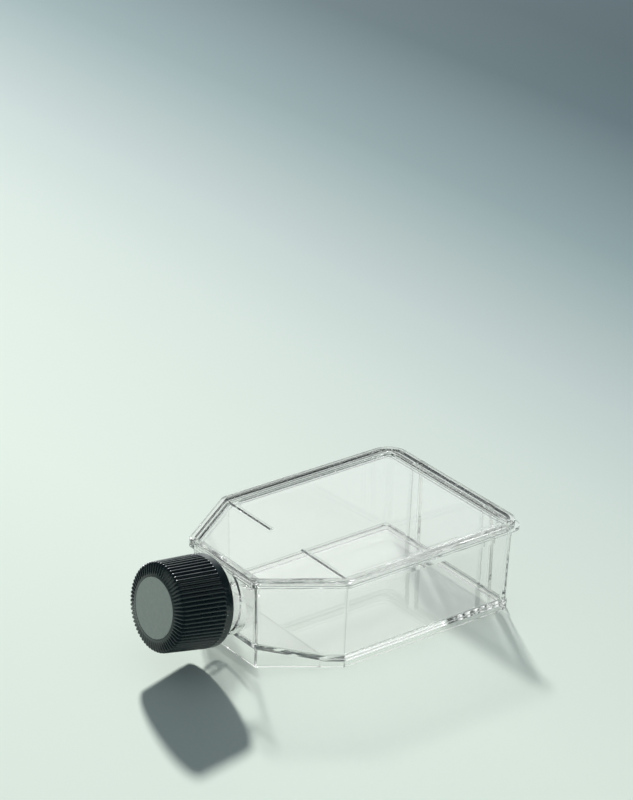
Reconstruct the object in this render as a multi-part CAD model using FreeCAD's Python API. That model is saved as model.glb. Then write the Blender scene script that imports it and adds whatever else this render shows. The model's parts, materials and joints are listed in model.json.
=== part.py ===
import FreeCAD, Part

import math
import os

# Cell culture flask with 25 square centimetres of growth area, lying on its growth face.
# Millimetres. +Z is up and the neck points to -X.
# The origin is on the table, under the middle of the flask with its cap on.

V = FreeCAD.Vector

# Plan of the weld flange: a rectangle with two sloping shoulders and a flat front end.
BODY_WIDTH = 52.0
BODY_HEIGHT = 24.6
STRAIGHT_LENGTH = 53.7       # rear edge to the shoulder line
SHOULDER_LENGTH = 19.2       # shoulder line to the front edge
FRONT_WIDTH = 26.2
REAR_CORNER_RADIUS = 2.7
WALL_REAR_RADIUS = 3.4       # wall's plan, taken out to the flange's edge
SHOULDER_RADIUS = 1.6
FRONT_CORNER_RADIUS = 1.6
LEAST_RADIUS = 0.4           # of any corner further in
REAR_WALL_SETBACK = 0.5      # extra inset of the walls at the rear

# The top plate has the flange's plan with rounder corners.
PLATE_REAR_RADIUS = 5.5
PLATE_SHOULDER_RADIUS = 3.5
PLATE_FRONT_RADIUS = 2.0

# Neck and screw cap, on one axis canted up from the table.
NECK_CANT_DEG = 9.8
NECK_AXIS_HEIGHT = 13.96     # where the axis meets the plane of the flange's front edge
NECK_OUTER_RADIUS = 8.75
NECK_BORE_RADIUS = 7.2
NECK_LENGTH = 16.4           # from the flange's front edge to the mouth
NECK_COLLAR = 0.35           # how far the root stands out past the barrel
NECK_COLLAR_END = 0.6        # along the neck axis
NECK_ROOT_START = -2.4       # inside the front wall
MOUTH_EDGE_RADIUS = 0.5

# Thread: single start, right hand.
THREAD_PITCH = 3.175
THREAD_TURNS = 1.5
THREAD_CREST_RADIUS = 9.75
THREAD_ROOT_WIDTH = 1.5
THREAD_CREST_WIDTH = 0.55
THREAD_EMBED = 0.25          # how deep a ridge reaches into its wall
NECK_THREAD_START = 8.6      # along the neck axis, centre of the ridge

# Walls, floor and ramp of the moulded body.
WALL_INSET_TOP = 1.2         # wall's outer face, in from the flange edge
WALL_INSET_BOTTOM = 1.9
CHAMBER_INSET_TOP = 2.3      # wall's inner face
CHAMBER_INSET_BOTTOM = 3.1
FLOOR_TOP = 2.5
FLOOR_THICKNESS = 1.2
RAMP_START = 2.5             # fold line, ahead of the shoulder line
RAMP_RISE_AT_FRONT = 3.9
CHAMBER_CORNER_RADIUS = 1.2
CHAMBER_FLOOR_RADIUS = 0.8
SKIRT_INSET_BOTTOM = 2.8     # inner face of the skirt below the floor
SKIRT_INSET_TOP = 3.2

# Weld flange of the body, with the web and the cove that carry it.
FLANGE_THICKNESS = 1.0
FLANGE_WEB_DROP = 2.1        # web's foot, below the flange
FLANGE_WEB_INSET = 1.0
FLANGE_COVE = 0.45
COVE_STEPS = 4

# Foot band that stands proud of the wall, so flasks nest when they are stacked.
FOOT_HEIGHT = 2.3
FOOT_INSET_TOP = 1.4
FOOT_INSET_BOTTOM = 1.5
FOOT_WRAP = 4.5              # how far it follows each shoulder
FOOT_EDGE_RADIUS = 0.35

# Two upright ribs on the rear wall, on which the flask stands upright.
RIB_OFFSET = 13.9
RIB_WIDTH = 2.9
RIB_BOTTOM = 0.4             # just clear of what the flask lies on
RIB_EMBED = 0.4              # how deep a rib reaches into the wall
RIB_EDGE_RADIUS = 0.3        # of its two upright outer edges
RIB_ROOT = 0.6               # chamfer where it meets the wall

# Top plate.
PLATE_RIM_HEIGHT = 1.2
PLATE_RIM_WIDTH = 1.2
RIM_SLOPE = 0.7              # run of the slope from the rim down to the land
LAND_DEPTH = 0.4
PANEL_DEPTH = 0.75
PANEL_INSET = 3.15
PANEL_SLOPE = 0.8            # run of the slope from the land down to the panel
PANEL_CORNER_RADIUS = 3.6
BAR_START = 0.1              # two bars across the plate, behind the shoulder line
BAR_SLOPE = 0.3              # run of a bar's front face
BAR_TOP = 0.3                # width of its top
BAR_GAP = 12.8               # between the two bars
PLATE_UNDERSIDE = 22.75
LIP_INSET = 2.4
LIP_THICKNESS = 0.8
LIP_BOTTOM = 22.05
RIM_EDGE_RADIUS = 0.25
SEAM_EDGE_RADIUS = 0.12      # at the weld line
LIP_EDGE_RADIUS = 0.25

# Screw cap.
CAP_SKIRT_START = 4.1        # open end of the skirt, along the neck axis
CAP_RIM_POSITION = 18.7      # where the ribbed side meets the top
CAP_TOP_POSITION = 19.25     # flat top
CAP_SKIRT_RADIUS = 11.5
CAP_RIM_RADIUS = 10.95
CAP_BAND_LENGTH = 2.2        # smooth band at the open end
CAP_BAND_STEP = 0.1          # band below the rib tips
CAP_EDGE_RADIUS = 0.25
CAP_RIB_RUNOUT = 1.2
CAP_RIB_COUNT = 64
CAP_RIB_DEPTH = 0.42
CAP_SERRATION_RADIUS = 8.9   # inner end of the ribs on the top
CAP_LAND_RADIUS = 7.75
CAP_BORE_RADIUS = 9.95
CAP_LEAD_IN = 0.35
CAP_SEAT_RADIUS = 9.2
CAP_SEAT_START = 15.5
CAP_CEILING = 17.55
CAP_THREAD_CREST_RADIUS = 8.95
LINER_GAP = 0.03             # above the mouth and below the ceiling
LINER_SIDE_GAP = 0.1
DISC_RADIUS = 7.45
DISC_THICKNESS = 0.6

CANT = math.radians(NECK_CANT_DEG)
CAP_REACH = max(
    CAP_RIM_POSITION * math.cos(CANT) + CAP_RIM_RADIUS * math.sin(CANT),
    CAP_TOP_POSITION * math.cos(CANT) + CAP_LAND_RADIUS * math.sin(CANT),
)
OVERALL_LENGTH = STRAIGHT_LENGTH + SHOULDER_LENGTH + CAP_REACH
REAR_X = OVERALL_LENGTH / 2.0
SHOULDER_X = REAR_X - STRAIGHT_LENGTH
FRONT_X = SHOULDER_X - SHOULDER_LENGTH
FLANGE_TOP = BODY_HEIGHT - PLATE_RIM_HEIGHT
FLANGE_BOTTOM = FLANGE_TOP - FLANGE_THICKNESS


def plan_corners(rear_x, rear_radius, shoulder_radius, front_radius):
    """Corners of the flask's plan, anticlockwise from the near rear corner."""
    half = BODY_WIDTH / 2.0
    front = FRONT_WIDTH / 2.0
    return [
        (rear_x, -half, rear_radius),
        (rear_x, half, rear_radius),
        (SHOULDER_X, half, shoulder_radius),
        (FRONT_X, front, front_radius),
        (FRONT_X, -front, front_radius),
        (SHOULDER_X, -half, shoulder_radius),
    ]


FLANGE_PLAN = plan_corners(REAR_X, REAR_CORNER_RADIUS, SHOULDER_RADIUS, FRONT_CORNER_RADIUS)
WALL_PLAN = plan_corners(REAR_X - REAR_WALL_SETBACK, WALL_REAR_RADIUS, SHOULDER_RADIUS, FRONT_CORNER_RADIUS)
PLATE_PLAN = plan_corners(REAR_X, PLATE_REAR_RADIUS, PLATE_SHOULDER_RADIUS, PLATE_FRONT_RADIUS)


def offset_corners(corners, inset, least_radius=LEAST_RADIUS):
    """The same corners moved inward, parallel to their sides."""
    count = len(corners)
    moved = []
    for i, (x, y, radius) in enumerate(corners):
        before = corners[i - 1]
        after = corners[(i + 1) % count]
        in_dir = V(x - before[0], y - before[1], 0).normalize()
        out_dir = V(after[0] - x, after[1] - y, 0).normalize()
        in_normal = V(-in_dir.y, in_dir.x, 0)
        out_normal = V(-out_dir.y, out_dir.x, 0)
        bisector = in_normal + out_normal
        scale = inset / bisector.dot(in_normal)
        moved.append((x + bisector.x * scale, y + bisector.y * scale, max(radius - inset, least_radius)))
    return moved


def rounded_wire(corners, z):
    """Closed wire through the corners, each rounded by its own radius."""
    count = len(corners)
    arcs = []
    for i, (x, y, radius) in enumerate(corners):
        corner = V(x, y, z)
        before = V(corners[i - 1][0], corners[i - 1][1], z)
        after = V(corners[(i + 1) % count][0], corners[(i + 1) % count][1], z)
        to_before = (before - corner).normalize()
        to_after = (after - corner).normalize()
        half_angle = to_before.getAngle(to_after) / 2.0
        reach = radius / math.tan(half_angle)
        centre = corner + (to_before + to_after).normalize() * (radius / math.sin(half_angle))
        middle = centre + (corner - centre).normalize() * radius
        arcs.append((corner + to_before * reach, middle, corner + to_after * reach))
    edges = []
    for i, (start, middle, end) in enumerate(arcs):
        edges.append(Part.Arc(start, middle, end).toShape())
        edges.append(Part.LineSegment(end, arcs[(i + 1) % count][0]).toShape())
    return Part.Wire(edges)


def outline(plan, inset, z, least_radius=LEAST_RADIUS):
    """A plan, moved inward by inset, as a wire at height z."""
    return rounded_wire(offset_corners(plan, inset, least_radius), z)


def inside_outline(point, plan, inset):
    """Whether a point is within a plan moved inward by inset."""
    corners = offset_corners(plan, inset)
    for i, (x, y, _) in enumerate(corners):
        after = corners[(i + 1) % len(corners)]
        side = (after[0] - x) * (point.y - y) - (after[1] - y) * (point.x - x)
        if side < 0:
            return False
    return True


def drafted(plan, inset_low, z_low, inset_high, z_high, least_radius=LEAST_RADIUS):
    """Solid on a plan, whose sides lean between two insets."""
    low = outline(plan, inset_low, z_low, least_radius)
    high = outline(plan, inset_high, z_high, least_radius)
    return Part.makeLoft([low, high], True, True)


def slab(plan, inset, z_low, z_high, least_radius=LEAST_RADIUS):
    """Solid on a plan, with upright sides."""
    face = Part.Face(outline(plan, inset, z_low, least_radius))
    return face.extrude(V(0, 0, z_high - z_low))


def side_prism(profile):
    """Prism across the whole width from a closed profile of x, z points."""
    points = [V(x, -BODY_WIDTH, z) for x, z in profile]
    face = Part.Face(Part.makePolygon(points + points[:1]))
    return face.extrude(V(0, 2 * BODY_WIDTH, 0))


def block(x_low, x_high, y_low, y_high, z_low, z_high):
    return Part.makeBox(x_high - x_low, y_high - y_low, z_high - z_low, V(x_low, y_low, z_low))


def ramp_height(x):
    """Height of the floor's top face at x."""
    start = SHOULDER_X - RAMP_START
    if x >= start:
        return FLOOR_TOP
    return FLOOR_TOP + RAMP_RISE_AT_FRONT * (start - x) / (start - FRONT_X)


def floor_profile(drop, depth):
    """Side profile of everything lower than the floor's top face, less drop."""
    far = 10.0
    return [
        (REAR_X + far, -depth),
        (REAR_X + far, FLOOR_TOP - drop),
        (SHOULDER_X - RAMP_START, FLOOR_TOP - drop),
        (FRONT_X - far, ramp_height(FRONT_X - far) - drop),
        (FRONT_X - far, -depth),
    ]


def along_neck(position):
    """Point on the neck axis, measured from the flange's front edge."""
    return V(
        FRONT_X - position * math.cos(CANT),
        0,
        NECK_AXIS_HEIGHT + position * math.sin(CANT),
    )


def neck_placement(position=0.0):
    """Placement whose Z runs out along the neck axis."""
    axis = V(-math.cos(CANT), 0, math.sin(CANT))
    return FreeCAD.Placement(along_neck(position), FreeCAD.Rotation(V(0, 0, 1), axis))


def turned(profile):
    """Solid of revolution about the neck axis, from r, position points."""
    points = [V(radius, 0, position) for radius, position in profile]
    face = Part.Face(Part.makePolygon(points + points[:1]))
    solid = face.revolve(V(0, 0, 0), V(0, 0, 1), 360)
    solid.Placement = neck_placement()
    return solid


def helical_ridge(base_radius, crest_radius, start):
    """Thread ridge from base to crest radius, its centre starting at a position on the neck axis."""
    height = THREAD_PITCH * THREAD_TURNS
    helix = Part.makeHelix(THREAD_PITCH, height, base_radius)
    root = THREAD_ROOT_WIDTH / 2.0
    crest = THREAD_CREST_WIDTH / 2.0
    profile = Part.makePolygon([
        V(base_radius, 0, -root),
        V(crest_radius, 0, -crest),
        V(crest_radius, 0, crest),
        V(base_radius, 0, root),
        V(base_radius, 0, -root),
    ])
    ridge = Part.Wire(helix.Edges).makePipeShell([profile], True, True)
    ridge.translate(V(0, 0, start))
    ridge.Placement = neck_placement().multiply(ridge.Placement)
    return ridge


def level_edges(shape, z):
    """Edges of a shape that lie wholly at one height."""
    return [edge for edge in shape.Edges if all(abs(point.z - z) < 0.001 for point in edge.discretize(3))]


def make_foot_band():
    """Foot band around the sides and rear, ending a little way along each shoulder."""
    band = drafted(WALL_PLAN, FOOT_INSET_BOTTOM, 0.0, FOOT_INSET_TOP, FOOT_HEIGHT)
    end = SHOULDER_X - FOOT_WRAP
    keep = block(end, REAR_X + 1, -BODY_WIDTH, BODY_WIDTH, -1, FOOT_HEIGHT + 1)
    band = band.common(keep)
    edges = [edge for edge in level_edges(band, 0.0) if edge.CenterOfMass.x > end + 0.01]
    return band.makeFillet(FOOT_EDGE_RADIUS, edges)


def make_flange():
    """Weld flange, with a sloping web under it and a cove between the two."""
    cove_foot = FLANGE_BOTTOM - FLANGE_COVE
    layers = [drafted(WALL_PLAN, WALL_INSET_TOP, FLANGE_BOTTOM - FLANGE_WEB_DROP, FLANGE_WEB_INSET, cove_foot)]
    levels = []
    for step in range(COVE_STEPS + 1):
        angle = math.pi / 2.0 * step / COVE_STEPS
        levels.append((
            FLANGE_WEB_INSET - FLANGE_COVE * (1.0 - math.cos(angle)),
            cove_foot + FLANGE_COVE * math.sin(angle),
        ))
    for (inset_low, z_low), (inset_high, z_high) in zip(levels, levels[1:]):
        layers.append(drafted(WALL_PLAN, inset_low, z_low, inset_high, z_high))
    return slab(FLANGE_PLAN, 0.0, FLANGE_BOTTOM, FLANGE_TOP).multiFuse(layers)


def rib_root(middle):
    """Chamfered root of a rib above the foot band, which leans with the wall."""
    sections = []
    for z in (FOOT_HEIGHT, FLANGE_BOTTOM):
        share = z / FLANGE_BOTTOM
        wall = REAR_X - REAR_WALL_SETBACK - WALL_INSET_BOTTOM + (WALL_INSET_BOTTOM - WALL_INSET_TOP) * share
        half = RIB_WIDTH / 2.0
        points = [
            V(wall - RIB_EMBED, middle - half - RIB_ROOT, z),
            V(wall, middle - half - RIB_ROOT, z),
            V(wall + RIB_ROOT, middle - half, z),
            V(wall + RIB_ROOT, middle + half, z),
            V(wall, middle + half + RIB_ROOT, z),
            V(wall - RIB_EMBED, middle + half + RIB_ROOT, z),
        ]
        sections.append(Part.makePolygon(points + points[:1]))
    return Part.makeLoft(sections, True, True)


def make_rear_ribs():
    """Two ribs whose outer faces are level with the flange's rear edge."""
    ribs = []
    for middle in (-RIB_OFFSET, RIB_OFFSET):
        rib = block(
            REAR_X - REAR_WALL_SETBACK - WALL_INSET_BOTTOM - RIB_EMBED, REAR_X,
            middle - RIB_WIDTH / 2.0, middle + RIB_WIDTH / 2.0,
            RIB_BOTTOM, FLANGE_BOTTOM,
        )
        upright = [e for e in rib.Edges if e.BoundBox.ZLength > 1.0 and e.BoundBox.XMin > REAR_X - 0.01]
        ribs.append(rib.makeFillet(RIB_EDGE_RADIUS, upright))
        ribs.append(rib_root(middle))
    return ribs


def make_neck():
    """Neck barrel with its collar at the root, before the bore is cut."""
    r = NECK_OUTER_RADIUS
    return turned([
        (0, NECK_ROOT_START),
        (r + NECK_COLLAR, NECK_ROOT_START),
        (r + NECK_COLLAR, NECK_COLLAR_END - NECK_COLLAR),
        (r, NECK_COLLAR_END),
        (r, NECK_LENGTH - MOUTH_EDGE_RADIUS),
        (r - MOUTH_EDGE_RADIUS, NECK_LENGTH),
        (0, NECK_LENGTH),
    ])


def make_chamber():
    """Space inside the flask, down to the floor and ramp, rounded where they meet the walls."""
    low = 0.0
    high = FLANGE_BOTTOM + 2.0
    slope = (CHAMBER_INSET_TOP - CHAMBER_INSET_BOTTOM) / FLANGE_BOTTOM
    space = drafted(
        WALL_PLAN,
        CHAMBER_INSET_BOTTOM, low,
        CHAMBER_INSET_BOTTOM + slope * high, high,
        CHAMBER_CORNER_RADIUS,
    )
    space = space.cut(side_prism(floor_profile(0.0, 5.0))).Solids[0]
    fold = SHOULDER_X - RAMP_START
    corners = []
    for edge in space.Edges:
        points = edge.discretize(5)
        on_floor = all(abs(p.z - ramp_height(p.x)) < 0.02 for p in points)
        on_fold = all(abs(p.x - fold) < 0.01 for p in points)
        if on_floor and not on_fold:
            corners.append(edge)
    return space.makeFillet(CHAMBER_FLOOR_RADIUS, corners)


def make_flask_body():
    """One moulding: walls, floor, ramp, skirt, foot, ribs, flange, neck and thread."""
    outer = drafted(WALL_PLAN, WALL_INSET_BOTTOM, 0.0, WALL_INSET_TOP, FLANGE_BOTTOM)
    solid = outer.multiFuse([make_foot_band(), make_flange(), make_neck()] + make_rear_ribs())

    below = drafted(WALL_PLAN, SKIRT_INSET_BOTTOM, -1.0, SKIRT_INSET_TOP, 8.0)
    below = below.common(side_prism(floor_profile(FLOOR_THICKNESS, 5.0)))
    bore = turned([
        (0, -5.0),
        (NECK_BORE_RADIUS, -5.0),
        (NECK_BORE_RADIUS, NECK_LENGTH + 1.0),
        (0, NECK_LENGTH + 1.0),
    ])
    solid = solid.cut(make_chamber()).cut(below).cut(bore)

    ridge = helical_ridge(NECK_OUTER_RADIUS - THREAD_EMBED, THREAD_CREST_RADIUS, NECK_THREAD_START)
    return solid.fuse(ridge).removeSplitter()


def panel_wire(inset, z):
    """Outline of the sunk panel, behind the two bars, moved inward by inset."""
    half = BODY_WIDTH / 2.0 - PANEL_INSET
    rear = REAR_X - PANEL_INSET
    front = SHOULDER_X + BAR_START + BAR_SLOPE + BAR_TOP
    radius = PANEL_CORNER_RADIUS
    corners = [
        (rear, -half, radius),
        (rear, half, radius),
        (front, half, radius),
        (front, -half, radius),
    ]
    return rounded_wire(offset_corners(corners, inset), z)


def plate_front():
    """What is taken off the plate ahead of the two bars, down to the level of the panel."""
    floor = BODY_HEIGHT - PANEL_DEPTH
    slope = RIM_SLOPE * PANEL_DEPTH / LAND_DEPTH
    low = outline(PLATE_PLAN, PLATE_RIM_WIDTH + slope, floor)
    high = outline(PLATE_PLAN, PLATE_RIM_WIDTH, BODY_HEIGHT)
    bar = SHOULDER_X + BAR_START
    ahead = side_prism([
        (FRONT_X, floor - 1.0),
        (bar, floor - 1.0),
        (bar, floor),
        (bar + BAR_SLOPE, BODY_HEIGHT - LAND_DEPTH),
        (bar + BAR_SLOPE, BODY_HEIGHT + 1.0),
        (FRONT_X, BODY_HEIGHT + 1.0),
    ])
    return Part.makeLoft([low, high], True, True).common(ahead)


def make_top_plate():
    """Cover welded to the flange: raised rim, land, sunk panel, two bars and locating lip."""
    plate = slab(PLATE_PLAN, 0.0, FLANGE_TOP, BODY_HEIGHT)
    plug = slab(WALL_PLAN, LIP_INSET, LIP_BOTTOM, FLANGE_TOP, CHAMBER_CORNER_RADIUS)
    inside_lip = slab(WALL_PLAN, LIP_INSET + LIP_THICKNESS, LIP_BOTTOM, PLATE_UNDERSIDE, LIP_THICKNESS)
    plate = plate.fuse(plug.cut(inside_lip))
    land = BODY_HEIGHT - LAND_DEPTH
    rim_edge = outline(PLATE_PLAN, PLATE_RIM_WIDTH, BODY_HEIGHT)
    land_edge = outline(PLATE_PLAN, PLATE_RIM_WIDTH + RIM_SLOPE, land)
    plate = plate.cut(Part.makeLoft([land_edge, rim_edge], True, True))
    panel = Part.makeLoft([panel_wire(PANEL_SLOPE, BODY_HEIGHT - PANEL_DEPTH), panel_wire(0.0, land)], True, True)
    bar = SHOULDER_X + BAR_START
    gap_end = bar + BAR_SLOPE + BAR_TOP + PANEL_SLOPE
    gap = block(bar, gap_end, -BAR_GAP / 2.0, BAR_GAP / 2.0, BODY_HEIGHT - PANEL_DEPTH, BODY_HEIGHT)
    plate = plate.cut(panel).cut(plate_front()).cut(gap).removeSplitter()
    plate = plate.makeFillet(RIM_EDGE_RADIUS, level_edges(plate, BODY_HEIGHT))
    plate = plate.makeFillet(RIM_EDGE_RADIUS, level_edges(plate, BODY_HEIGHT - PANEL_DEPTH))
    seam = []
    for edge in level_edges(plate, FLANGE_TOP):
        outside = [p for p in edge.discretize(3) if not inside_outline(p, WALL_PLAN, LIP_INSET / 2.0)]
        if len(outside) == 3:
            seam.append(edge)
    plate = plate.makeFillet(SEAM_EDGE_RADIUS, seam)
    return plate.makeFillet(LIP_EDGE_RADIUS, level_edges(plate, LIP_BOTTOM))


def ring_points(count, tip_radius, valley_radius, position):
    """Four points a rib: two on its tip and two in the valley beside it."""
    points = []
    pitch = 2 * math.pi / count
    for i in range(count):
        for share, radius in ((0.0, tip_radius), (0.3, tip_radius), (0.5, valley_radius), (0.8, valley_radius)):
            angle = (i + share) * pitch
            points.append(V(radius * math.cos(angle), radius * math.sin(angle), position))
    return points


def skin_between(lower, upper):
    """Flat faces between two rings of points, two triangles where four points aren't flat."""
    faces = []
    count = len(lower)
    for i in range(count):
        j = (i + 1) % count
        a, b, c, d = lower[i], lower[j], upper[j], upper[i]
        normal = (b - a).cross(d - a)
        if normal.Length > 1e-9 and abs((c - a).dot(normal.normalize())) < 1e-6:
            faces.append(Part.Face(Part.makePolygon([a, b, c, d, a])))
        else:
            faces.append(Part.Face(Part.makePolygon([a, b, c, a])))
            faces.append(Part.Face(Part.makePolygon([a, c, d, a])))
    return faces


def cap_side_radius(position):
    """Radius over the ribs: the skirt is a little wider at its open end."""
    share = (position - CAP_SKIRT_START) / (CAP_RIM_POSITION - CAP_SKIRT_START)
    return CAP_SKIRT_RADIUS + (CAP_RIM_RADIUS - CAP_SKIRT_RADIUS) * share


def make_cap_shell():
    """Outside of the cap as one solid: smooth band, ribbed side and serrated top edge."""
    band_end = CAP_SKIRT_START + CAP_BAND_LENGTH
    full_start = band_end + CAP_RIB_RUNOUT
    edge = CAP_EDGE_RADIUS
    top_slope = (CAP_TOP_POSITION - CAP_RIM_POSITION) / (CAP_RIM_RADIUS - CAP_LAND_RADIUS)
    serration_end = CAP_RIM_POSITION + top_slope * (CAP_RIM_RADIUS - CAP_SERRATION_RADIUS)

    def ring(radius, depth, position):
        return ring_points(CAP_RIB_COUNT, radius, radius - depth, position)

    rings = [
        ring(CAP_SKIRT_RADIUS - CAP_BAND_STEP - edge, 0.0, CAP_SKIRT_START),
        ring(CAP_SKIRT_RADIUS - CAP_BAND_STEP, 0.0, CAP_SKIRT_START + edge),
        ring(cap_side_radius(band_end) - CAP_BAND_STEP, 0.0, band_end),
        ring(cap_side_radius(full_start), CAP_RIB_DEPTH, full_start),
        ring(cap_side_radius(CAP_RIM_POSITION - edge), CAP_RIB_DEPTH, CAP_RIM_POSITION - edge),
        ring(CAP_RIM_RADIUS - edge, CAP_RIB_DEPTH * 0.6, CAP_RIM_POSITION),
        ring(CAP_SERRATION_RADIUS, 0.0, serration_end),
        ring(CAP_LAND_RADIUS, 0.0, CAP_TOP_POSITION),
    ]
    faces = [Part.Face(Part.makePolygon(rings[0] + rings[0][:1]))]
    for lower, upper in zip(rings, rings[1:]):
        faces.extend(skin_between(lower, upper))
    faces.append(Part.Face(Part.makePolygon(rings[-1] + rings[-1][:1])))
    solid = Part.Solid(Part.Shell(faces))
    solid.Placement = neck_placement()
    return solid


def make_screw_cap():
    """Ribbed cap with its thread, a seat for the liner and a recess for the disc."""
    cavity = turned([
        (0, CAP_SKIRT_START - 1.0),
        (CAP_BORE_RADIUS + CAP_LEAD_IN, CAP_SKIRT_START - 1.0),
        (CAP_BORE_RADIUS + CAP_LEAD_IN, CAP_SKIRT_START),
        (CAP_BORE_RADIUS, CAP_SKIRT_START + CAP_LEAD_IN),
        (CAP_BORE_RADIUS, CAP_SEAT_START - 0.7),
        (CAP_SEAT_RADIUS, CAP_SEAT_START),
        (CAP_SEAT_RADIUS, CAP_CEILING),
        (0, CAP_CEILING),
    ])
    recess = turned([
        (0, CAP_TOP_POSITION - DISC_THICKNESS),
        (DISC_RADIUS, CAP_TOP_POSITION - DISC_THICKNESS),
        (DISC_RADIUS, CAP_TOP_POSITION + 1.0),
        (0, CAP_TOP_POSITION + 1.0),
    ])
    solid = make_cap_shell().cut(cavity).cut(recess)
    start = NECK_THREAD_START - THREAD_PITCH / 2.0
    ridge = helical_ridge(CAP_BORE_RADIUS + THREAD_EMBED, CAP_THREAD_CREST_RADIUS, start)
    return solid.fuse(ridge)


def make_cap_disc():
    """Disc set flush in the cap's top."""
    low = CAP_TOP_POSITION - DISC_THICKNESS
    return turned([(0, low), (DISC_RADIUS, low), (DISC_RADIUS, CAP_TOP_POSITION), (0, CAP_TOP_POSITION)])


def make_cap_liner():
    """Sealing disc between the cap's ceiling and the neck's mouth."""
    low = NECK_LENGTH + LINER_GAP
    high = CAP_CEILING - LINER_GAP
    radius = CAP_SEAT_RADIUS - LINER_SIDE_GAP
    return turned([(0, low), (radius, low), (radius, high), (0, high)])


PIECES = {
    "flask_body": make_flask_body,
    "top_plate": make_top_plate,
    "screw_cap": make_screw_cap,
    "cap_disc": make_cap_disc,
    "cap_liner": make_cap_liner,
}

os.makedirs("parts", exist_ok=True)
for name, make in PIECES.items():
    shape = make()
    shape.exportStep("parts/" + name + ".step")
    box = shape.BoundBox
    print(
        name, "valid", shape.isValid(), "solids", len(shape.Solids), "faces", len(shape.Faces),
        "volume %.0f" % shape.Volume,
        "box %.2f %.2f %.2f to %.2f %.2f %.2f" % (box.XMin, box.YMin, box.ZMin, box.XMax, box.YMax, box.ZMax),
    )
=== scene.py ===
import bmesh
import bpy
import json
import math
from mathutils import Matrix, Vector


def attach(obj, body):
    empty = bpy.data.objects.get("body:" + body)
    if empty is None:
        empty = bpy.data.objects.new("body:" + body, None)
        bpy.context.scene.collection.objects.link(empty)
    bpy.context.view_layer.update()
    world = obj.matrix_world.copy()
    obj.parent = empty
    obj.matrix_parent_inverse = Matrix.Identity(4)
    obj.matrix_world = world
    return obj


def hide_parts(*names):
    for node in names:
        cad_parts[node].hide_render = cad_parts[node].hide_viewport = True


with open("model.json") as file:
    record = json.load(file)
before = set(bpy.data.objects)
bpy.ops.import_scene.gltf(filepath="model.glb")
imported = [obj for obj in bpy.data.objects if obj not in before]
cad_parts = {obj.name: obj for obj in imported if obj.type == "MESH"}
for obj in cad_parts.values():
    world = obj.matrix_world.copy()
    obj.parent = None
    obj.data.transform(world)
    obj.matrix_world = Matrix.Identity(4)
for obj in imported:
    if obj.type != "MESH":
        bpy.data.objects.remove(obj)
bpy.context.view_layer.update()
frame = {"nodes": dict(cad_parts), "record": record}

scene = bpy.context.scene
nodes = frame["nodes"]
behaviour = frame["record"]["behaviour"]

# The screw's axis, and the point on it that lies in the plane of the flange's front edge,
# which the joint's own point stands in front of.
TURN = next(joint for joint in behaviour["joints"] if joint["name"] == "cap_turn")
TURN_POINT = 0.010
AXIS = Vector(TURN["axis"]).normalized()
AXIS_START = Vector(TURN["pos_m"]) - AXIS * TURN_POINT

# Viewing direction, in degrees. Azimuth 0 looks along +Y, elevation is above the table.
CAMERA_AZIMUTH = -37.74
CAMERA_ELEVATION = 25.67
CAMERA_ROLL = 1.64
CAMERA_LENS = 148.4
CAMERA_PLACE = Vector((-0.43161, -0.55939, 0.39911))

# Enough for light to find its way out of the rim.
LIGHT_BOUNCES = 48

# The key lamp stands behind the flask, low enough to throw shadows towards the camera.
KEY_AZIMUTH = 27.5
KEY_ELEVATION = 31.0
KEY_DISTANCE = 5.0
KEY_SIZE = 0.36
KEY_POWER = 322.0

# Middle and half-width of the glow about the key lamp, in degrees, and its colour.
GLOW_AZIMUTH = 30.0
GLOW_ELEVATION = 27.0
GLOW_SPREAD = 38.0
GLOW_COLOUR = (1.02, 1.08, 1.05)

# The room, as the sine of the height above the horizon and a colour, and its light on matt surfaces.
ROOM_COLOURS = (
    (0.0, 0.02, 0.03, 0.035),
    (0.13, 0.02, 0.03, 0.035),
    (0.42, 0.03, 0.04, 0.045),
    (1.0, 0.05, 0.065, 0.07),
)
AMBIENT_COLOUR = (0.17, 0.195, 0.225)

# Bench colours from beside the flask to far behind it, each after its share of the length. After the bench's
# own pale colour they are painted shade, bluer and darker, standing in for light falling off far behind the
# flask. The length is in metres and runs towards an azimuth in degrees.
BENCH_SHADE_LENGTH = 0.36
BENCH_SHADE_AZIMUTH = 86.7
BENCH_SHADE_COLOURS = (
    (0.0, 0.80, 0.90, 0.785),
    (0.15, 0.75, 0.84, 0.745),
    (0.27, 0.68, 0.77, 0.70),
    (0.40, 0.54, 0.63, 0.595),
    (0.62, 0.24, 0.335, 0.34),
    (0.85, 0.07, 0.125, 0.14),
    (1.0, 0.045, 0.09, 0.105),
)

# The bench in metres, and how far it lies below the foot so that the two don't share a plane.
BENCH_HALF_SIDE = 3.0
BENCH_DROP = 0.00002

# How far the weld sinks the top plate into the flange, in metres.
WELD_SINK = 0.00002

# Clear polystyrene. Its shadow is clear where a wall faces the light and dark where it stands steep to it.
CLEAR_COLOUR = (0.998, 0.988, 0.990)
CLEAR_ROUGHNESS = 0.02
CLEAR_IOR = 1.59
SHADOW_CLEAR = 0.976
SHADOW_STEEP_START = 0.48
SHADOW_STEEP_END = 0.94
FLOW_SCALE = 60.0
FLOW_STRENGTH = 0.05
FLOW_HEIGHT = 0.0004

# Opaque plastics: how strongly the grain shows, and how rough the gloss over it is.
GRAIN_STRENGTH = 0.35
GLOSS_ROUGHNESS = 0.06

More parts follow.
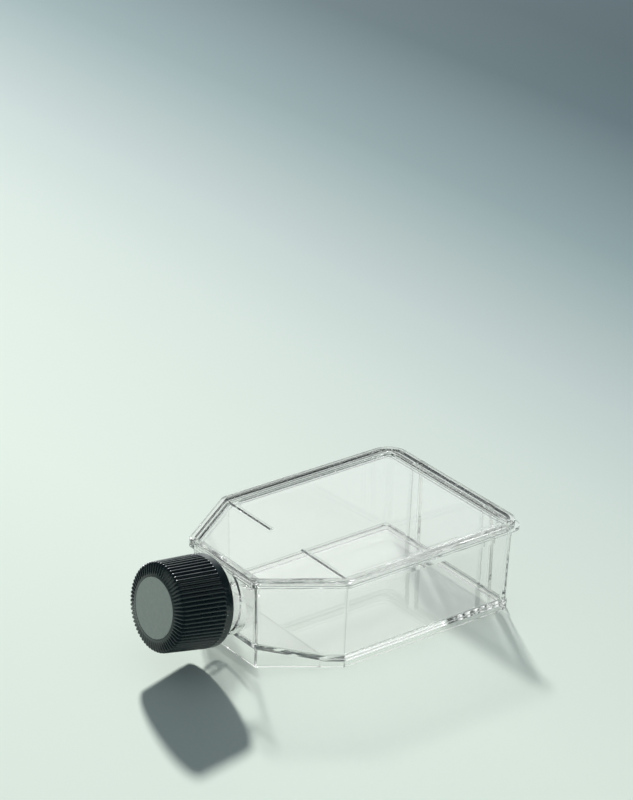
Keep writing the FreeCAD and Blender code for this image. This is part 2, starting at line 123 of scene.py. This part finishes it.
# Screw cap, in metres. Positions are along the axis, from the flange's front edge.
CAP_OPEN_END = 0.0041
CAP_BAND_RADIUS = 0.0114
CAP_BAND_END = 0.0063
CAP_RIM = 0.0187
CAP_TOP = 0.01925
CAP_SIDE_RADIUS_LOW = 0.01142
CAP_SIDE_RADIUS_HIGH = 0.01097
CAP_RIBS = 64
CAP_RIB_STEPS = 12
CAP_RIB_DEPTH = 0.00042
CAP_LIP_RADIUS = 0.0004
CAP_RIM_ROUNDING = 0.0009
CAP_RIM_LIFT = 0.00005
CAP_BORE_RADIUS = 0.00995
CAP_LEAD_IN = 0.00035
CAP_SEAT_RADIUS = 0.0092
CAP_SEAT_START = 0.0155
CAP_SEAT_SLOPE = 0.0007
CAP_CEILING = 0.01755
CAP_RECESS_RADIUS = 0.00745
CAP_RECESS_DEPTH = 0.0006
CAP_RECESS_EDGE = 0.00008

# The cap's inside thread, in metres. Its root is embedded in the bore's wall.
THREAD_PITCH = 0.003175
THREAD_START = 0.00701
THREAD_TURNS = 1.5
THREAD_CREST_RADIUS = 0.00895
THREAD_EMBED = 0.0002
THREAD_ROOT_WIDTH = 0.0015
THREAD_CREST_WIDTH = 0.0006

# The smooth band's slight taper: how far it is drawn in, and where along the axis.
BAND_ROWS = ((0.00002, CAP_OPEN_END + 0.0012), (0.00005, CAP_BAND_END))

# Where the cap's ribs rise from the band: lift along the axis, and share of the full rib depth.
RIB_START_ROWS = ((0.00005, 0.12), (0.00014, 0.45), (0.00024, 0.78), (0.00034, 0.95), (0.0005, 1.0))

# The rounded rim stops short of level, in degrees, and its ribs lose this share of their depth there.
RIM_ARC_END = 80
RIM_RIB_LOSS = 0.1

# Where the ribs fade out over the cap's top: radius, position along the axis, share of the full rib depth.
RIB_END_ROWS = (
    (0.0098, 0.01885, 0.85),
    (0.0094, 0.01892, 0.78),
    (0.0090, 0.01899, 0.66),
    (0.0086, 0.01906, 0.48),
    (0.0083, 0.01911, 0.28),
    (0.0080, 0.01916, 0.0),
    (0.0078, 0.01920, 0.0),
    (0.00755, CAP_TOP, 0.0),
)


def direction(azimuth, elevation):
    """Unit vector that points away from the object, azimuth counted from +Y towards +X."""
    a = math.radians(azimuth)
    e = math.radians(elevation)
    return Vector((math.sin(a) * math.cos(e), math.cos(a) * math.cos(e), math.sin(e)))


# ---- Shared effects -------------------------------------------------------------------------

def new_group(name, inputs, outputs):
    """Empty node group: inputs given as name, type and default, outputs as name and type."""
    group = bpy.data.node_groups.new(name, "ShaderNodeTree")
    for label, kind, default in inputs:
        socket = group.interface.new_socket(name=label, in_out="INPUT", socket_type=kind)
        socket.default_value = default
    for label, kind in outputs:
        group.interface.new_socket(name=label, in_out="OUTPUT", socket_type=kind)
    start = group.nodes.new("NodeGroupInput")
    end = group.nodes.new("NodeGroupOutput")
    return group, start, end


def moulded_grain():
    """Fine skin of a moulded part: a height and a mask of slightly duller patches."""
    group, start, end = new_group(
        "moulded_grain",
        [("Grain Scale", "NodeSocketFloat", 4000.0), ("Patch Scale", "NodeSocketFloat", 180.0)],
        [("Height", "NodeSocketFloat"), ("Patches", "NodeSocketFloat")],
    )
    add = group.nodes.new
    link = group.links.new
    place = add("ShaderNodeTexCoord")
    grain = add("ShaderNodeTexNoise")
    grain.inputs["Detail"].default_value = 3.0
    patch = add("ShaderNodeTexNoise")
    patch.inputs["Detail"].default_value = 4.0
    patch.inputs["Roughness"].default_value = 0.65
    spread = add("ShaderNodeMapRange")
    spread.inputs["From Min"].default_value = 0.4
    spread.inputs["From Max"].default_value = 0.7
    link(place.outputs["Object"], grain.inputs["Vector"])
    link(place.outputs["Object"], patch.inputs["Vector"])
    link(start.outputs["Grain Scale"], grain.inputs["Scale"])
    link(start.outputs["Patch Scale"], patch.inputs["Scale"])
    link(patch.outputs["Fac"], spread.inputs["Value"])
    link(grain.outputs["Fac"], end.inputs["Height"])
    link(spread.outputs["Result"], end.inputs["Patches"])
    return group


def flow_waves():
    """Slow swell that melt flow leaves in a moulded wall."""
    group, start, end = new_group(
        "flow_waves",
        [("Scale", "NodeSocketFloat", 60.0)],
        [("Height", "NodeSocketFloat")],
    )
    add = group.nodes.new
    link = group.links.new
    place = add("ShaderNodeTexCoord")
    swell = add("ShaderNodeTexNoise")
    swell.inputs["Detail"].default_value = 1.0
    link(place.outputs["Object"], swell.inputs["Vector"])
    link(start.outputs["Scale"], swell.inputs["Scale"])
    link(swell.outputs["Fac"], end.inputs["Height"])
    return group


GRAIN = moulded_grain()
FLOW = flow_waves()


# ---- Materials ------------------------------------------------------------------------------

def new_material(name):
    """Empty material with its output and a Principled shader, not yet joined."""
    material = bpy.data.materials.new(name)
    material.use_nodes = True
    tree = material.node_tree
    tree.nodes.clear()
    out = tree.nodes.new("ShaderNodeOutputMaterial")
    body = tree.nodes.new("ShaderNodeBsdfPrincipled")
    return material, tree, out, body


def place_group(tree, group, **values):
    """Node group in a material, with its inputs set by name."""
    node = tree.nodes.new("ShaderNodeGroup")
    node.node_tree = group
    for label, value in values.items():
        node.inputs[label.replace("_", " ")].default_value = value
    return node


def add_bump(tree, body, height, strength, distance):
    """Relief from a height, on the shader's normal."""
    bump = tree.nodes.new("ShaderNodeBump")
    bump.inputs["Strength"].default_value = strength
    bump.inputs["Distance"].default_value = distance
    tree.links.new(height, bump.inputs["Height"])
    tree.links.new(bump.outputs["Normal"], body.inputs["Normal"])


def ranged(tree, value, low, high):
    """A 0 to 1 value spread from low to high."""
    node = tree.nodes.new("ShaderNodeMapRange")
    node.inputs["To Min"].default_value = low
    node.inputs["To Max"].default_value = high
    tree.links.new(value, node.inputs["Value"])
    return node.outputs["Result"]


def mixed(tree, factor, first, second):
    """Colour between two colours."""
    node = tree.nodes.new("ShaderNodeMix")
    node.data_type = "RGBA"
    node.inputs["A"].default_value = (*first, 1)
    node.inputs["B"].default_value = (*second, 1)
    tree.links.new(factor, node.inputs["Factor"])
    return node.outputs["Result"]


def fill_ramp(ramp, colours):
    """Sets a two-stop colour ramp to stops given as position, red, green and blue."""
    stops = ramp.color_ramp.elements
    for stop, (position, *colour) in zip(stops, (colours[0], colours[-1])):
        stop.position = position
        stop.color = (*colour, 1)
    for position, *colour in colours[1:-1]:
        stops.new(position).color = (*colour, 1)


def clear_polystyrene():
    """Clear moulded plastic, which lets light through as a tinted shadow."""
    material, tree, out, body = new_material("clear_polystyrene")
    add = tree.nodes.new
    link = tree.links.new
    body.inputs["Base Color"].default_value = (*CLEAR_COLOUR, 1)
    body.inputs["Roughness"].default_value = CLEAR_ROUGHNESS
    body.inputs["IOR"].default_value = CLEAR_IOR
    body.inputs["Transmission Weight"].default_value = 1.0
    flow = place_group(tree, FLOW, Scale=FLOW_SCALE)
    add_bump(tree, body, flow.outputs["Height"], FLOW_STRENGTH, FLOW_HEIGHT)
    clear = add("ShaderNodeBsdfTransparent")
    edge = add("ShaderNodeLayerWeight")
    edge.inputs["Blend"].default_value = 0.5
    shade = add("ShaderNodeMapRange")
    shade.interpolation_type = "SMOOTHSTEP"
    shade.inputs["From Min"].default_value = SHADOW_STEEP_START
    shade.inputs["From Max"].default_value = SHADOW_STEEP_END
    shade.inputs["To Min"].default_value = SHADOW_CLEAR
    shade.inputs["To Max"].default_value = 0.0
    link(edge.outputs["Facing"], shade.inputs["Value"])
    tint = add("ShaderNodeCombineColor")
    for channel in range(3):
        link(shade.outputs[0], tint.inputs[channel])
    link(tint.outputs[0], clear.inputs["Color"])
    path = add("ShaderNodeLightPath")
    either = add("ShaderNodeMath")
    either.operation = "MAXIMUM"
    link(path.outputs["Is Shadow Ray"], either.inputs[0])
    link(path.outputs["Is Diffuse Ray"], either.inputs[1])
    mix = add("ShaderNodeMixShader")
    link(either.outputs[0], mix.inputs[0])
    link(body.outputs[0], mix.inputs[1])
    link(clear.outputs[0], mix.inputs[2])
    link(mix.outputs[0], out.inputs["Surface"])
    return material


def solid_plastic(name, colour, dull_colour, roughness, dull_roughness, grain_scale, grain_height,
                  patch_scale=180.0, gloss=0.0):
    """Opaque moulded plastic with a fine grain and slightly duller patches."""
    material, tree, out, body = new_material(name)
    skin = place_group(tree, GRAIN, Grain_Scale=grain_scale, Patch_Scale=patch_scale)
    patches = skin.outputs["Patches"]
    tree.links.new(mixed(tree, patches, colour, dull_colour), body.inputs["Base Color"])
    tree.links.new(ranged(tree, patches, roughness, dull_roughness), body.inputs["Roughness"])
    add_bump(tree, body, skin.outputs["Height"], GRAIN_STRENGTH, grain_height)
    body.inputs["Coat Weight"].default_value = gloss
    body.inputs["Coat Roughness"].default_value = GLOSS_ROUGHNESS
    tree.links.new(body.outputs[0], out.inputs["Surface"])
    return material


def bench_surface():
    """Pale matt bench with painted shade: bluer and darker far behind the flask, standing in for light
    falling off there.
    """
    material, tree, out, body = new_material("bench_surface")
    add = tree.nodes.new
    link = tree.links.new
    place = add("ShaderNodeTexCoord")
    along = add("ShaderNodeVectorMath")
    along.operation = "DOT_PRODUCT"
    along.inputs[1].default_value = direction(BENCH_SHADE_AZIMUTH, 0.0)
    link(place.outputs["Object"], along.inputs[0])
    away = add("ShaderNodeMapRange")
    away.inputs["From Max"].default_value = BENCH_SHADE_LENGTH
    link(along.outputs["Value"], away.inputs["Value"])
    # Painted shade: the bench's colour darkens and turns bluer with distance behind the flask.
    fade = add("ShaderNodeValToRGB")
    link(away.outputs["Result"], fade.inputs["Fac"])
    fill_ramp(fade, BENCH_SHADE_COLOURS)
    link(fade.outputs["Color"], body.inputs["Base Color"])
    body.inputs["Roughness"].default_value = 0.7
    body.inputs["Specular IOR Level"].default_value = 0.1
    link(body.outputs[0], out.inputs["Surface"])
    return material


def set_material(obj, material):
    """Gives an object one material."""
    obj.data.materials.clear()
    obj.data.materials.append(material)


CLEAR = clear_polystyrene()
BLACK = solid_plastic(
    "black_cap", (0.014, 0.028, 0.032), (0.019, 0.034, 0.039),
    roughness=0.25, dull_roughness=0.36, grain_scale=5000.0, grain_height=0.00002, gloss=0.15,
)
GREY = solid_plastic(
    "grey_disc", (0.385, 0.42, 0.395), (0.46, 0.49, 0.46),
    roughness=0.40, dull_roughness=0.58, grain_scale=5200.0, grain_height=0.00005, patch_scale=1100.0,
)
WHITE = solid_plastic(
    "white_liner", (0.80, 0.80, 0.78), (0.74, 0.74, 0.72),
    roughness=0.5, dull_roughness=0.6, grain_scale=5000.0, grain_height=0.00002,
)


# ---- Screw cap ------------------------------------------------------------------------------

def axis_frame():
    """Two directions across the axis, the first as level as can be."""
    side = AXIS.cross(Vector((0, 0, 1))).normalized()
    return side, AXIS.cross(side)


ACROSS, OVER = axis_frame()


def on_axis(radius, angle, position):
    """Point at a radius and an angle about the screw's axis."""
    return AXIS_START + AXIS * position + (ACROSS * math.cos(angle) + OVER * math.sin(angle)) * radius


def arc_rows(centre_radius, centre_position, radius, start, end, steps, depth):
    """Rows of a profile along an arc, its angles in degrees from straight out, each with a rib depth."""
    rows = []
    for i in range(steps + 1):
        angle = math.radians(start + (end - start) * i / steps)
        rows.append((
            centre_radius + radius * math.cos(angle),
            centre_position + radius * math.sin(angle),
            depth(i / steps),
        ))
    return rows


def cap_outside_rows():
    """Radius, position and rib depth from the open end up to the disc's recess."""
    lip = CAP_LIP_RADIUS
    rim = CAP_RIM_ROUNDING
    full = CAP_RIB_DEPTH
    lip_steps = 6
    slope_steps = 6
    rim_steps = 7
    rows = arc_rows(CAP_BAND_RADIUS - lip, CAP_OPEN_END + lip, lip, -90, 0, lip_steps, lambda share: 0.0)
    rows += [(CAP_BAND_RADIUS - drawn_in, position, 0.0) for drawn_in, position in BAND_ROWS]
    for lift, share in RIB_START_ROWS:
        rows.append((CAP_SIDE_RADIUS_LOW, CAP_BAND_END + lift, full * share))
    slope_start = rows[-1][1]
    slope_length = CAP_RIM - rim - slope_start
    for i in range(1, slope_steps):
        share = i / slope_steps
        radius = CAP_SIDE_RADIUS_LOW + (CAP_SIDE_RADIUS_HIGH - CAP_SIDE_RADIUS_LOW) * share
        rows.append((radius, slope_start + slope_length * share, full))
    rows += arc_rows(
        CAP_SIDE_RADIUS_HIGH - rim, CAP_RIM + CAP_RIM_LIFT - rim, rim, 0, RIM_ARC_END, rim_steps,
        lambda share: full * (1 - RIM_RIB_LOSS * share),
    )
    rows += [(radius, position, full * share) for radius, position, share in RIB_END_ROWS]
    rows.append((CAP_RECESS_RADIUS, CAP_TOP - CAP_RECESS_EDGE, 0.0))
    rows.append((CAP_RECESS_RADIUS, CAP_TOP - CAP_RECESS_DEPTH, 0.0))
    return rows


def cap_inside_rows():
    """Radius and position from the ceiling of the cap back to its open end."""
    return [
        (CAP_SEAT_RADIUS, CAP_CEILING),
        (CAP_SEAT_RADIUS, CAP_SEAT_START),
        (CAP_BORE_RADIUS, CAP_SEAT_START - CAP_SEAT_SLOPE),
        (CAP_BORE_RADIUS, CAP_OPEN_END + CAP_LEAD_IN),
        (CAP_BORE_RADIUS + CAP_LEAD_IN, CAP_OPEN_END),
    ]


def profile_normals(rows):
    """Outward direction of each row, as shares of radius and position."""
    normals = []
    for i in range(len(rows)):
        before = rows[max(i - 1, 0)]
        after = rows[min(i + 1, len(rows) - 1)]
        along_radius = after[0] - before[0]
        along_axis = after[1] - before[1]
        length = math.hypot(along_radius, along_axis)
        normals.append((along_axis / length, -along_radius / length))
    return normals


def rib_height(share):
    """Height of a rib across its pitch: a round tip and a sharp valley."""
    return abs(math.sin(math.pi * share))


def cap_mesh():
    """Ribbed cap as one closed skin: outside, recess for the disc, and the threaded inside."""
    around = CAP_RIBS * CAP_RIB_STEPS
    outside = cap_outside_rows()
    vertices = []
    faces = []
    for (radius, position, depth), (out_radius, out_axis) in zip(outside, profile_normals(outside)):
        for k in range(around):
            sunk = depth * (1 - rib_height((k % CAP_RIB_STEPS) / CAP_RIB_STEPS))
            angle = 2 * math.pi * k / around
            vertices.append(on_axis(radius - sunk * out_radius, angle, position - sunk * out_axis))
    outside_rows = len(outside)
    inside = cap_inside_rows()
    for radius, position in inside:
        for k in range(around):
            vertices.append(on_axis(radius, 2 * math.pi * k / around, position))

    def band(low, high):
        """Faces between two rows."""
        for k in range(around):
            after = (k + 1) % around
            faces.append((low * around + k, low * around + after, high * around + after, high * around + k))

    for row in range(outside_rows - 1):
        band(row, row + 1)
    for row in range(outside_rows, outside_rows + len(inside) - 1):
        band(row, row + 1)
    band(outside_rows + len(inside) - 1, 0)
    vertices.append(on_axis(0, 0, CAP_TOP - CAP_RECESS_DEPTH))
    recess_centre = len(vertices) - 1
    vertices.append(on_axis(0, 0, CAP_CEILING))
    ceiling_centre = len(vertices) - 1
    last = (outside_rows - 1) * around
    first = outside_rows * around
    for k in range(around):
        after = (k + 1) % around
        faces.append((last + k, last + after, recess_centre))
        faces.append((first + after, first + k, ceiling_centre))
    return vertices, faces


def thread_mesh(base_radius, crest_radius, start, root_width, crest_width):
    """Helical ridge whose ends run out into the wall."""
    per_turn = 72
    steps = int(per_turn * THREAD_TURNS)
    run_out = 8
    section = [
        (0.0, -0.5 * root_width),
        (0.9, -0.5 * crest_width),
        (1.0, 0.0),
        (0.9, 0.5 * crest_width),
        (0.0, 0.5 * root_width),
    ]
    vertices = []
    faces = []
    for step in range(steps + 1):
        angle = 2 * math.pi * step / per_turn
        position = start + THREAD_PITCH * step / per_turn
        share = min(1.0, step / run_out, (steps - step) / run_out)
        for rise, offset in section:
            radius = base_radius + (crest_radius - base_radius) * rise * share
            vertices.append(on_axis(radius, angle, position + offset))
    count = len(section)
    for step in range(steps):
        for k in range(count):
            after = (k + 1) % count
            a = step * count
            faces.append((a + k, a + after, a + count + after, a + count + k))
    faces.append(tuple(range(count)))
    faces.append(tuple(steps * count + k for k in reversed(range(count))))
    return vertices, faces


def make_object(name, parts, material, smooth_angle=40.0):
    """Mesh object from several lots of vertices and faces."""
    vertices = []
    faces = []
    for some_vertices, some_faces in parts:
        shift = len(vertices)
        vertices += some_vertices
        faces += [tuple(index + shift for index in face) for face in some_faces]
    mesh = bpy.data.meshes.new(name)
    mesh.from_pydata([tuple(v) for v in vertices], [], faces)
    skin = bmesh.new()
    skin.from_mesh(mesh)
    bmesh.ops.recalc_face_normals(skin, faces=skin.faces)
    skin.to_mesh(mesh)
    skin.free()
    mesh.shade_smooth()
    mesh.set_sharp_from_angle(angle=math.radians(smooth_angle))
    obj = bpy.data.objects.new(name, mesh)
    scene.collection.objects.link(obj)
    mesh.materials.append(material)
    return obj


inner_thread = thread_mesh(
    CAP_BORE_RADIUS + THREAD_EMBED, THREAD_CREST_RADIUS, THREAD_START, THREAD_ROOT_WIDTH, THREAD_CREST_WIDTH,
)
cap = make_object("ribbed_cap", [cap_mesh(), inner_thread], BLACK)
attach(cap, "cap")
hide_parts("screw_cap")


# ---- Clear flask ----------------------------------------------------------------------------

def sink_plate():
    """The top plate as its weld leaves it, a hair's breadth sunk into the flange."""
    source = nodes["top_plate"]
    plate = source.copy()
    plate.data = source.data.copy()
    plate.name = "welded_plate"
    plate.parent = None
    for key in list(plate.keys()):
        del plate[key]
    plate.data.transform(Matrix.Translation((0, 0, -WELD_SINK)))
    scene.collection.objects.link(plate)
    return plate


plate = sink_plate()
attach(plate, "flask")
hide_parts("top_plate")
set_material(plate, CLEAR)
set_material(nodes["flask_body"], CLEAR)
set_material(nodes["top_plate"], CLEAR)
set_material(nodes["cap_disc"], GREY)
set_material(nodes["cap_liner"], WHITE)


# ---- Bench, light and camera ----------------------------------------------------------------

bench_corners = [
    (BENCH_HALF_SIDE * x, BENCH_HALF_SIDE * y, 0)
    for x, y in ((-1, -1), (1, -1), (1, 1), (-1, 1))
]
bench_mesh = bpy.data.meshes.new("bench")
bench_mesh.from_pydata(bench_corners, [], [(0, 1, 2, 3)])
bench = bpy.data.objects.new("bench", bench_mesh)
scene.collection.objects.link(bench)
bench.location.z = -BENCH_DROP
bench_mesh.materials.append(bench_surface())


def studio_world():
    """Dark room, a little lighter overhead, with a broad glow about the key lamp."""
    world = bpy.data.worlds.new("studio")
    scene.world = world
    world.use_nodes = True
    tree = world.node_tree
    link = tree.links.new
    background = tree.nodes["Background"]
    place = tree.nodes.new("ShaderNodeTexCoord")
    split = tree.nodes.new("ShaderNodeSeparateXYZ")
    ramp = tree.nodes.new("ShaderNodeValToRGB")
    link(place.outputs["Generated"], split.inputs[0])
    link(split.outputs["Z"], ramp.inputs["Fac"])
    fill_ramp(ramp, ROOM_COLOURS)
    toward = tree.nodes.new("ShaderNodeVectorMath")
    toward.operation = "DOT_PRODUCT"
    toward.inputs[1].default_value = direction(GLOW_AZIMUTH, GLOW_ELEVATION)
    link(place.outputs["Generated"], toward.inputs[0])
    glow = tree.nodes.new("ShaderNodeMapRange")
    glow.interpolation_type = "SMOOTHSTEP"
    glow.inputs["From Min"].default_value = math.cos(math.radians(GLOW_SPREAD))
    glow.inputs["From Max"].default_value = 1.0
    link(toward.outputs["Value"], glow.inputs["Value"])
    lit = tree.nodes.new("ShaderNodeMix")
    lit.data_type = "RGBA"
    link(glow.outputs["Result"], lit.inputs["Factor"])
    link(ramp.outputs["Color"], lit.inputs["A"])
    lit.inputs["B"].default_value = (*GLOW_COLOUR, 1)
    path = tree.nodes.new("ShaderNodeLightPath")
    ambient = tree.nodes.new("ShaderNodeMix")
    ambient.data_type = "RGBA"
    link(path.outputs["Is Diffuse Ray"], ambient.inputs["Factor"])
    link(lit.outputs["Result"], ambient.inputs["A"])
    ambient.inputs["B"].default_value = (*AMBIENT_COLOUR, 1)
    link(ambient.outputs["Result"], background.inputs["Color"])
    background.inputs["Strength"].default_value = 1.0


studio_world()

key_lamp = bpy.data.lights.new("key", "AREA")
key_lamp.shape = "DISK"
key_lamp.size = KEY_SIZE
key_lamp.energy = KEY_POWER
key = bpy.data.objects.new("key", key_lamp)
scene.collection.objects.link(key)
key_way = direction(KEY_AZIMUTH, KEY_ELEVATION)
key.location = key_way * KEY_DISTANCE
key.rotation_mode = "QUATERNION"
key.rotation_quaternion = key_way.to_track_quat("Z", "Y")

camera_data = bpy.data.cameras.new("camera")
camera_data.lens = CAMERA_LENS
camera_data.sensor_width = 36.0
camera = bpy.data.objects.new("camera", camera_data)
scene.collection.objects.link(camera)
scene.camera = camera
azimuth = math.radians(CAMERA_AZIMUTH)
elevation = math.radians(CAMERA_ELEVATION)
back = Vector((
    math.sin(azimuth) * math.cos(elevation),
    -math.cos(azimuth) * math.cos(elevation),
    math.sin(elevation),
))
level = back.to_track_quat("Z", "Y").to_matrix()
roll = Matrix.Rotation(math.radians(CAMERA_ROLL), 3, back)
camera.location = CAMERA_PLACE
camera.rotation_mode = "QUATERNION"
camera.rotation_quaternion = (roll @ level).to_quaternion()

scene.view_settings.view_transform = "Standard"
scene.cycles.max_bounces = LIGHT_BOUNCES
scene.cycles.transmission_bounces = LIGHT_BOUNCES
scene.cycles.glossy_bounces = LIGHT_BOUNCES
scene.cycles.transparent_max_bounces = LIGHT_BOUNCES
scene.cycles.caustics_reflective = False
scene.cycles.caustics_refractive = False
